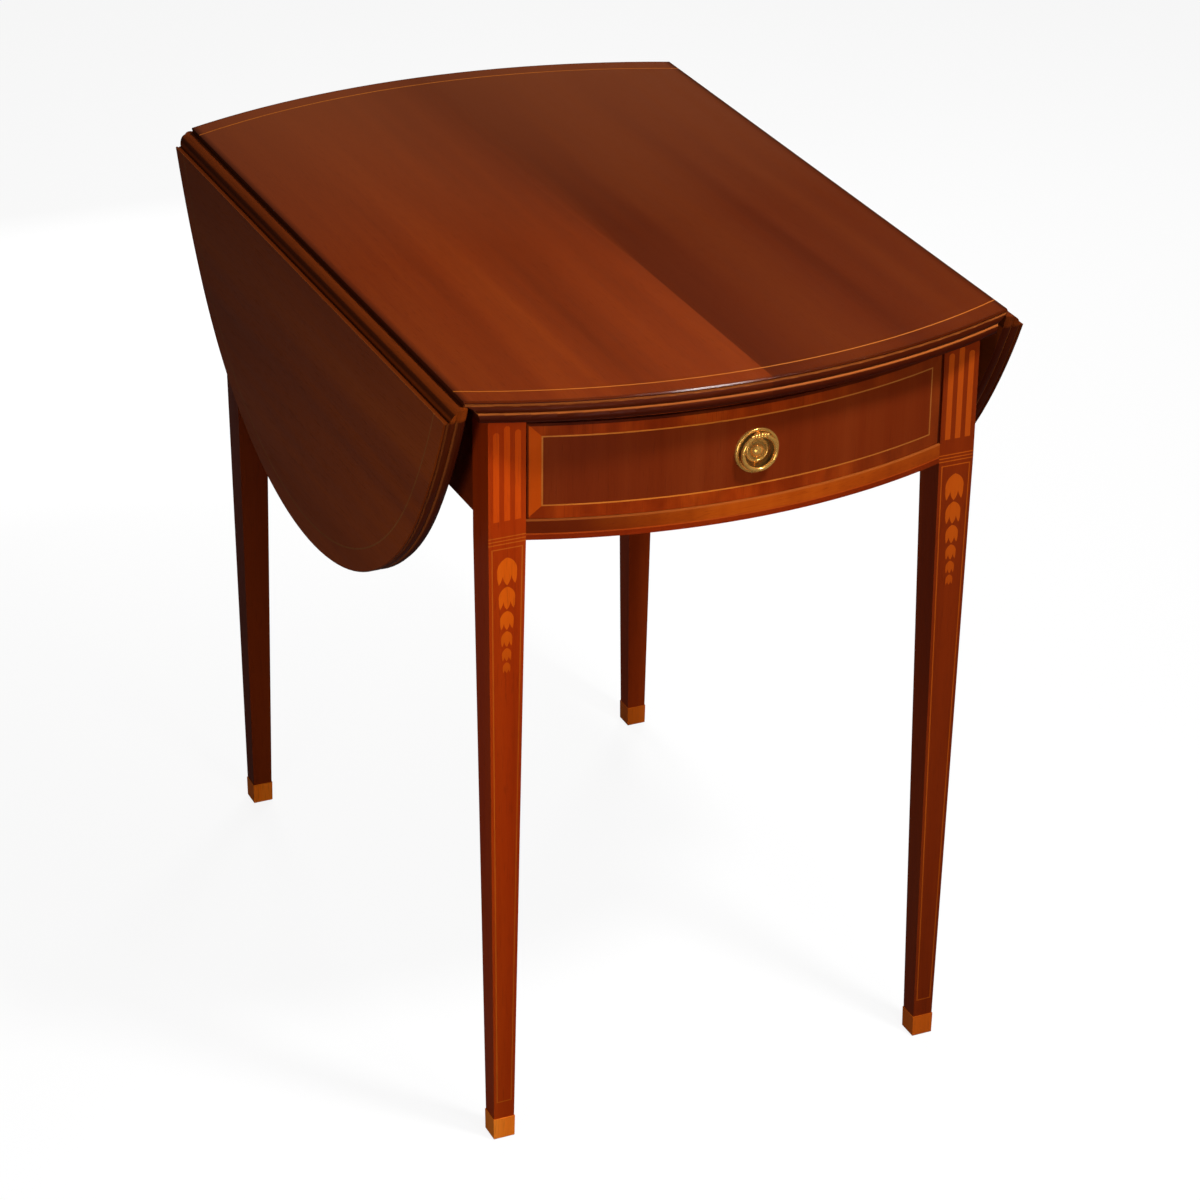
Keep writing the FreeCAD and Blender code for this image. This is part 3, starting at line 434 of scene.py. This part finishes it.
def top_wood():
    """Lighter and darker boards glued edge to edge, darker along the seam, with painted shade at the rim and
    joints.
    """
    paint = Paint("top_mahogany")
    x, y, z = paint.place()
    low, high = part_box("fixed_top")

    waves = paint.noise(paint.vector(paint.times(y, SEAM_WAVES_PER_METRE), 0.0, 0.0), SEAM_WAVE_DETAIL)
    wave = paint.times(paint.minus(waves, NOISE_MIDDLE), paint.spread(y, *SEAM_WAVE))
    from_seam = paint.minus(paint.plus(x, wave), BOARD_SEAM_X)
    blur = paint.spread(y, *SEAM_BLUR)
    right = paint.spread(from_seam, paint.times(blur, -1.0), blur)
    grain = Grain(paint, y, paint.plus(x, paint.times(right, BOARD_SHIFT)), z)
    colour = paint.blend(right, grain.colour(TOP_LEFT_BOARD), grain.colour(TOP_RIGHT_BOARD))
    far_end = paint.spread(y, FAR_END_START, high.y, 0.0, FAR_END_SHARE)
    colour = paint.blend(far_end, colour, linear(TOP_FAR_END))

    right_shade = paint.times(paint.spread(from_seam, 0.0, RIGHT_SHADE_REACH, 1.0, 0.0),
                              paint.spread(y, *RIGHT_SHADE))
    left_shade = paint.times(paint.spread(from_seam, -LEFT_SHADE_REACH, 0.0), paint.spread(y, *LEFT_SHADE))
    colour = paint.blend(paint.choose(right, left_shade, right_shade), colour, linear(TOP_SHADE))
    left_edge = paint.spread(x, low.x, low.x + LEFT_SHADE_REACH, LEFT_EDGE_SHADE, 0.0)
    colour = paint.blend(left_edge, colour, linear(TOP_SHADE))

    # Painted shade along the joint edges and the bowed rim.
    at_joint = paint.spread(paint.size_of(x), high.x - JOINT_PAINTED_SHADE_REACH, high.x, 0.0, JOINT_PAINTED_SHADE)
    bow_radius = (high.x ** 2 + END_BOW ** 2) / (2 * END_BOW)
    bow_y = paint.plus(paint.size_of(y), bow_radius - high.y)
    from_bow = paint.minus(bow_radius, paint.length(x, bow_y))
    rim_painted_shade = paint.larger(at_joint, paint.spread(from_bow, *RIM_PAINTED_SHADE))
    colour = paint.blend(rim_painted_shade, colour, linear(EDGE_PAINTED_SHADE))

    on_lip = paint.over(paint.size_of(x), high.x - LIP_THICKNESS)
    # The moulded edge takes painted shade and painted highlights.
    edge = Moulding(paint, paint.minus(high.z, z), paint.facing()[2], paint.minus(1.0, on_lip))
    roughness = edge.roughness(grain.roughness(*POLISH_ROUGHNESS))
    return polished(paint, grain, edge.colour(colour, **TOP_EDGE_PAINTED_LIGHT), roughness)


def leaf_wood():
    """A leaf, the left one lighter as painted light, with painted shade on its rule joint and moulded edge, a
    painted highlight on the joint's arris and a dull underside.
    """
    paint = Paint("leaf_mahogany")
    x, y, z = paint.place()
    grain = Grain(paint, y, z, x)
    hinge_low, hinge_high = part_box("hinge_pins")
    joint_z = (hinge_low.z + hinge_high.z) / 2
    face_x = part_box("right_leaf")[1].x
    outward = paint.times(paint.facing()[0], paint.calculate("SIGN", x))
    depth = paint.minus(face_x, paint.size_of(x))

    at_joint = paint.over(z, joint_z - JOINT_MARGIN)
    on_round = paint.over(z, joint_z + JOINT_MARGIN)
    # Painted shade on the joint's ledge and round.
    from_valley = paint.size_of(paint.minus(outward, ROUND_VALLEY_FACING))
    joint_painted_shade = paint.choose(on_round, LEDGE_PAINTED_SHADE, paint.spread(from_valley, *ROUND_PAINTED_SHADE))
    edge = Moulding(paint, depth, outward, paint.minus(1.0, at_joint))
    # The left leaf is lighter: painted light.
    wood = paint.blend(paint.over(x, 0.0), grain.colour(LEFT_LEAF_PAINTED_LIGHT), grain.colour(RIGHT_LEAF))
    colour = edge.colour(wood, **LEAF_EDGE_PAINTED_LIGHT)
    colour = paint.blend(paint.times(at_joint, joint_painted_shade), colour, linear(EDGE_PAINTED_SHADE))
    # Painted highlight along the ledge's arris.
    arris = paint.times(paint.over(z, joint_z - LEDGE_ARRIS), paint.over(LEDGE_ARRIS, depth))
    colour = paint.blend(paint.times(arris, LEDGE_PAINTED_HIGHLIGHT), colour, linear(EDGE_PAINTED_HIGHLIGHT))

    polish = edge.roughness(grain.roughness(*POLISH_ROUGHNESS))
    roughness = paint.spread(outward, *UNDERSIDE_FACING, UNDERSIDE_ROUGHNESS, polish)
    return polished(paint, grain, colour, roughness)


def rail_wood():
    """The rail under the drawer: lighter above its string, with painted shade at both ends and a painted
    highlight on its upper arris.
    """
    paint = Paint("rail_mahogany")
    x, y, z = paint.place()
    string_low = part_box("rail_string_inlays")[0].z
    rail_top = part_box("front_lower_rail")[1].z
    grain = Grain(paint, x, z, y)
    above_string = paint.over(z, string_low)
    colour = paint.blend(above_string, grain.colour(RAIL_FOOT), grain.colour(RAIL))
    mottle = paint.noise(paint.vector(paint.times(x, MOTTLE_PER_METRE), 0.0, 0.0), RAIL_MOTTLE_DETAIL)
    colour = paint.blend(paint.spread(mottle, *RAIL_MOTTLE), colour, linear(RAIL_FOOT[0]))
    # Painted shade at the left and right ends.
    left_end = paint.times(above_string, paint.spread(x, *RAIL_LEFT_PAINTED_SHADE))
    colour = paint.blend(left_end, colour, linear(RAIL_PAINTED_SHADE))
    colour = paint.blend(paint.spread(x, *RAIL_RIGHT_PAINTED_SHADE), colour, linear(FRONT_RIGHT_PAINTED_SHADE))
    # Painted highlight along the upper arris.
    painted_arris_highlight = paint.times(paint.over(z, rail_top - RAIL_ARRIS), RAIL_ARRIS_PAINTED_HIGHLIGHT)
    colour = paint.blend(painted_arris_highlight, colour, linear(EDGE_PAINTED_HIGHLIGHT))
    return polished(paint, grain, colour, specular=FRONT_SPECULAR)


def drawer_veneer():
    """A dark centre panel inside the string, a crossbanded border outside it with painted shade towards the
    right, painted shadow in the gaps at its head and sides, and a plain back.
    """
    paint = Paint("drawer_veneer")
    x, y, z = paint.place()
    low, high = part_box("drawer_front")
    string_low, string_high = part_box("drawer_string_inlay")
    middle_z = (string_low.z + string_high.z) / 2
    past_side = paint.minus(paint.size_of(x), string_high.x)
    past_height = paint.minus(paint.size_of(paint.minus(z, middle_z)), string_high.z - middle_z)
    outside = paint.over(paint.larger(past_side, past_height), 0.0)
    at_side = paint.over(past_side, past_height)

    upright = Grain(paint, z, x, y)
    level = Grain(paint, x, z, y)
    band = paint.blend(at_side, upright.colour(CROSSBAND), level.colour(CROSSBAND))
    where = paint.vector(paint.times(x, MOTTLE_PER_METRE), 0.0, paint.times(z, BAND_MOTTLE_PER_METRE_UP))
    mottle = paint.spread(paint.noise(where, BAND_MOTTLE_DETAIL), *BAND_MOTTLE)
    band = paint.blend(mottle, band, linear(CROSSBAND[0]))
    left_end = paint.times(paint.times(at_side, paint.over(0.0, x)), BAND_LEFT_SHARE)
    band = paint.blend(left_end, band, linear(CROSSBAND_LEFT))
    # Painted shade towards the right.
    band = paint.blend(paint.spread(x, *BAND_RIGHT_PAINTED_SHADE), band, linear(FRONT_RIGHT_PAINTED_SHADE))
    face = paint.blend(outside, upright.colour(DRAWER_PANEL, pore_share=PANEL_PORE_SHARE), band)
    # Painted shadow in the gaps at the head and sides.
    gap_painted_shadow = paint.larger(paint.over(z, high.z - DRAWER_GAP_HEAD),
                          paint.over(paint.size_of(x), high.x - DRAWER_GAP_SIDE))
    face = paint.blend(paint.times(gap_painted_shadow, DRAWER_GAP_PAINTED_SHADOW), face, linear(EDGE_PAINTED_SHADE))

    bow = (high.y - low.y - DRAWER_THICKNESS) / high.x ** 2
    past_middle = paint.minus(paint.size_of(y), abs(low.y) - DRAWER_THICKNESS / 2)
    in_front = paint.over(paint.plus(past_middle, paint.times(paint.times(x, x), bow)), 0.0)
    colour = paint.blend(in_front, level.colour(DRAWER_BACK), face)
    return polished(paint, upright, colour, specular=FRONT_SPECULAR)


def drawer_string():
    """The drawer's string, darker at both ends, with painted shade at the right end."""
    paint = Paint("drawer_string")
    x, y, z = paint.place()
    grain = Grain(paint, x, z, y)
    # Darker at both ends, with painted shade at the right end.
    dull = paint.plus(paint.spread(x, *STRING_RIGHT_PAINTED_SHADE), paint.spread(x, *STRING_LEFT_END))
    return polished(paint, grain, paint.blend(dull, grain.colour(STRING), linear(DRAWER_STRING_SHADE)))


def leg_inlay(name, tones, right_painted_shade, lower_half=None):
    """Satinwood on the legs, with painted shade on the right ones. lower_half is a node's name and a tone for
    its lower half."""
    paint = Paint(name)
    x, y, z = paint.place()
    grain = Grain(paint, z, x, y)
    # Painted shade on the right legs' inlays.
    right = paint.times(paint.over(x, 0.0), RIGHT_INLAY_PAINTED_SHADE)
    colour = paint.blend(right, grain.colour(tones), linear(right_painted_shade))
    if lower_half:
        piece, low_tone = lower_half
        low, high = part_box(piece)
        lower = paint.spread(z, low.z, (low.z + high.z) / 2, LOW_BELLFLOWER_SHARE, 0.0)
        colour = paint.blend(lower, colour, linear(low_tone))
    return polished(paint, grain, colour)


def lining_wood(name, axis):
    """Unfinished wood inside the carcase and the drawer."""
    paint = Paint(name)
    x, y, z = paint.place()
    along, across, depth = {"X": (x, y, z), "Y": (y, z, x)}[axis]
    grain = Grain(paint, along, across, depth)
    colour = grain.colour(LINING, LINING_PORE, LINING_PORE_SHARE)
    roughness = grain.roughness(*LINING_ROUGHNESS)
    return paint.finish(colour, roughness, grain.relief(), LINING_RELIEF, LINING_SPECULAR)


# Metal

def metal(name, bright, dull, roughness, patches, recess=None):
    """Polished metal that has dulled in patches, with fine rubbing marks and, in a recess, patina."""
    paint = Paint(name)
    x, y, z = paint.place()
    where = paint.vector(paint.times(x, patches), paint.times(y, patches), paint.times(z, patches))
    patch = paint.noise(where, PATCH_DETAIL)
    where = paint.vector(paint.times(x, RUBS_PER_METRE), paint.times(y, RUBS_PER_METRE),
                         paint.times(z, RUBS_PER_METRE_UP))
    rubs = paint.noise(where, RUB_DETAIL)
    colour = paint.blend(paint.spread(patch, *TARNISH), linear(bright), linear(dull))
    if recess:
        colour = paint.blend(recess(paint, x, z), colour, linear(BRASS_PATINA))
    mixed = paint.plus(paint.times(patch, ROUGH_PATCH_SHARE), paint.times(rubs, ROUGH_RUB_SHARE))
    paint.shader.inputs["Metallic"].default_value = METALLIC
    return paint.finish(colour, paint.spread(mixed, *METAL_ROUGH_RAMP, *roughness), rubs, RUB_RELIEF,
                        METAL_SPECULAR)


def plate_recess(paint, x, z):
    """The hollows between the rings of the pull's plate, where patina gathers."""
    low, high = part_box("pull_plate")
    from_axis = paint.length(x, paint.minus(z, (low.z + high.z) / 2))

    def ring(inner, outer):
        return paint.times(paint.over(from_axis, inner), paint.over(outer, from_axis))

    return paint.plus(paint.times(ring(*PLATE_FIELD), PLATE_FIELD_PATINA),
                      paint.times(ring(*PLATE_CENTRE), PLATE_CENTRE_PATINA))


def dress(material, *names):
    for name in names:
        piece = nodes[name]
        if not piece.material_slots:
            piece.data.materials.append(material)
        for slot in piece.material_slots:
            slot.material = material


def dress_table():
    dress(top_wood(), "fixed_top")
    dress(leaf_wood(), "left_leaf", "right_leaf")
    dress(plain_wood("leg_mahogany", LEG, "Z"), "front_left_leg")
    # Painted shade: a darker copy of the leg's wood.
    dress(plain_wood("front_right_leg_painted_shade_mahogany", FRONT_RIGHT_LEG_PAINTED_SHADE, "Z"), "front_right_leg")
    # Painted shade: a darker copy of the leg's wood.
    dress(plain_wood("rear_left_leg_painted_shade_mahogany", REAR_LEFT_LEG_PAINTED_SHADE, "Z"), "rear_left_leg")
    dress(plain_wood("rear_right_leg_mahogany", REAR_RIGHT_LEG, "Z"), "rear_right_leg")
    dress(rail_wood(), "front_lower_rail", "rear_lower_rail")
    dress(plain_wood("top_rail_mahogany", APRON, "X"), "front_top_rail", "rear_top_rail")
    dress(plain_wood("apron_mahogany", APRON, "Y"), "left_front_apron", "left_rear_apron",
          "right_front_apron", "right_rear_apron", "left_fly_bracket", "right_fly_bracket")
    dress(drawer_veneer(), "drawer_front", "rear_false_front")
    dress(lining_wood("lining_long", "Y"), "left_inner_rail", "right_inner_rail", "left_drawer_runner",
          "right_drawer_runner", "left_kicker", "right_kicker", "drawer_left_side", "drawer_right_side")
    dress(lining_wood("lining_cross", "X"), "drawer_back", "drawer_bottom", "drawer_stops")
    dress(leg_inlay("satinwood", SATINWOOD, SATINWOOD_PAINTED_SHADE), "leg_flute_inlays")
    dress(leg_inlay("satinwood_bellflower", BELLFLOWER, BELLFLOWER_PAINTED_SHADE,
                    ("leg_bellflower_inlays", LOW_BELLFLOWER)), "leg_bellflower_inlays")
    dress(leg_inlay("satinwood_cuff", CUFF, CUFF_PAINTED_SHADE), "leg_cuffs")
    dress(drawer_string(), "drawer_string_inlay", "rear_string_inlay")
    dress(plain_wood("top_string", STRING, "X"), "top_string_inlays")
    dress(plain_wood("leaf_string", LEAF_STRING, "Y"), "left_leaf_string", "right_leaf_string")
    dress(plain_wood("rail_string", RAIL_STRING, "X"), "rail_string_inlays")
    dress(plain_wood("leg_string", LEG_STRING, "Z"), "leg_string_inlays")
    dress(metal("brass", BRASS, BRASS_TARNISH, **PULL_FINISH), "pull_post", "pull_nut", "pull_ring",
          "rear_pull_post", "rear_pull_nut", "rear_pull_ring")
    dress(metal("plate_brass", BRASS, BRASS_TARNISH, **PULL_FINISH, recess=plate_recess),
          "pull_plate", "rear_pull_plate")
    dress(metal("hinge_brass", BRASS, BRASS_TARNISH, **HINGE_FINISH), "left_hinge_top_plates",
          "right_hinge_top_plates", "left_hinge_leaf_plates", "right_hinge_leaf_plates", "hinge_pins")
    dress(metal("steel", STEEL, STEEL_DARK, **STEEL_FINISH), "top_screws", "hinge_top_screws",
          "left_hinge_leaf_screws", "right_hinge_leaf_screws", "fly_bracket_pins")


# Stage

def stage_material():
    """Near white to the camera with the table's shadow on it, but dim in reflections and in bounced light."""
    paint = Paint("stage_pale")
    paint.nodes.remove(paint.shader)
    path = paint.nodes.new("ShaderNodeLightPath").outputs
    seen = path["Is Camera Ray"]
    glow = paint.plus(paint.times(seen, STAGE_GLOW),
                      paint.times(path["Is Glossy Ray"], STAGE_GLOW_IN_REFLECTIONS))
    colour = paint.choose(seen, STAGE_COLOUR_IN_BOUNCES, STAGE_COLOUR)
    emission = paint.add("ShaderNodeEmission", {}, {"Strength": glow})
    diffuse = paint.add("ShaderNodeBsdfDiffuse", {}, {"Color": colour})
    both = paint.add("ShaderNodeAddShader", {}, {0: emission.outputs[0], 1: diffuse.outputs[0]})
    paint.feed(paint.nodes["Material Output"].inputs["Surface"], both.outputs[0])
    return paint.material


def mesh_piece(name, points, faces):
    mesh = bpy.data.meshes.new(name)
    mesh.from_pydata(points, [], faces)
    piece = bpy.data.objects.new(name, mesh)
    bpy.context.scene.collection.objects.link(piece)
    return piece


def make_stage():
    """A round floor and a wall round it."""
    rim = []
    for side in range(STAGE_SIDES):
        turn = 2 * math.pi * side / STAGE_SIDES
        rim.append((STAGE_RADIUS * math.cos(turn), STAGE_RADIUS * math.sin(turn)))
    low_rim = [(x, y, 0.0) for x, y in rim]
    high_rim = [(x, y, BACKDROP_HEIGHT) for x, y in rim]
    wall_faces = []
    for side in range(STAGE_SIDES):
        after = (side + 1) % STAGE_SIDES
        wall_faces.append([side, STAGE_SIDES + side, STAGE_SIDES + after, after])
    floor = mesh_piece("floor", low_rim, [list(range(STAGE_SIDES))])
    wall = mesh_piece("backdrop", low_rim + high_rim, wall_faces)
    pale = stage_material()
    for piece in (floor, wall):
        piece.data.materials.append(pale)


def lamp(name, place, aim, size, watts, shine=True):
    """A round lamp. One without shine lights the wood but isn't mirrored in its polish."""
    data = bpy.data.lights.new(name, "AREA")
    data.shape = "DISK"
    data.size = size
    data.energy = watts
    piece = bpy.data.objects.new(name, data)
    piece.location = place
    piece.rotation_euler = (Vector(aim) - Vector(place)).to_track_quat("-Z", "Y").to_euler()
    piece.visible_camera = False
    piece.visible_glossy = shine
    bpy.context.scene.collection.objects.link(piece)


def make_light():
    """The lamps, and a white world that is dimmer in reflections."""
    world = bpy.data.worlds.new("plain_world")
    world.use_nodes = True
    tree = world.node_tree
    background = tree.nodes["Background"]
    background.inputs["Color"].default_value = (1.0, 1.0, 1.0, 1.0)
    path = tree.nodes.new("ShaderNodeLightPath")
    strength = tree.nodes.new("ShaderNodeMapRange")
    strength.inputs["To Min"].default_value = AMBIENT
    strength.inputs["To Max"].default_value = AMBIENT_IN_REFLECTIONS
    tree.links.new(path.outputs["Is Glossy Ray"], strength.inputs["Value"])
    tree.links.new(strength.outputs[0], background.inputs["Strength"])
    bpy.context.scene.world = world
    for name, facts in LAMPS.items():
        lamp(name, **facts)


def make_camera():
    """The photograph's view, turned by its small roll."""
    back = Vector((math.sin(CAMERA_AZIMUTH) * math.cos(CAMERA_ELEVATION),
                   -math.cos(CAMERA_AZIMUTH) * math.cos(CAMERA_ELEVATION), math.sin(CAMERA_ELEVATION)))
    level = (-back).cross(Vector((0, 0, 1))).normalized()
    upright = level.cross(-back)
    right = level * math.cos(CAMERA_ROLL) + upright * math.sin(CAMERA_ROLL)
    up = upright * math.cos(CAMERA_ROLL) - level * math.sin(CAMERA_ROLL)
    data = bpy.data.cameras.new("camera")
    data.sensor_width = SENSOR_WIDTH
    data.lens = FOCAL_PIXELS * SENSOR_WIDTH / PHOTO_WIDTH
    camera = bpy.data.objects.new("camera", data)
    turned = Matrix((right, up, back)).transposed().to_4x4()
    camera.matrix_world = Matrix.Translation(CAMERA_TARGET + back * CAMERA_DISTANCE) @ turned
    bpy.context.scene.collection.objects.link(camera)
    bpy.context.scene.camera = camera


dress_table()
make_stage()
make_light()
make_camera()
bpy.context.scene.view_settings.view_transform = "Standard"
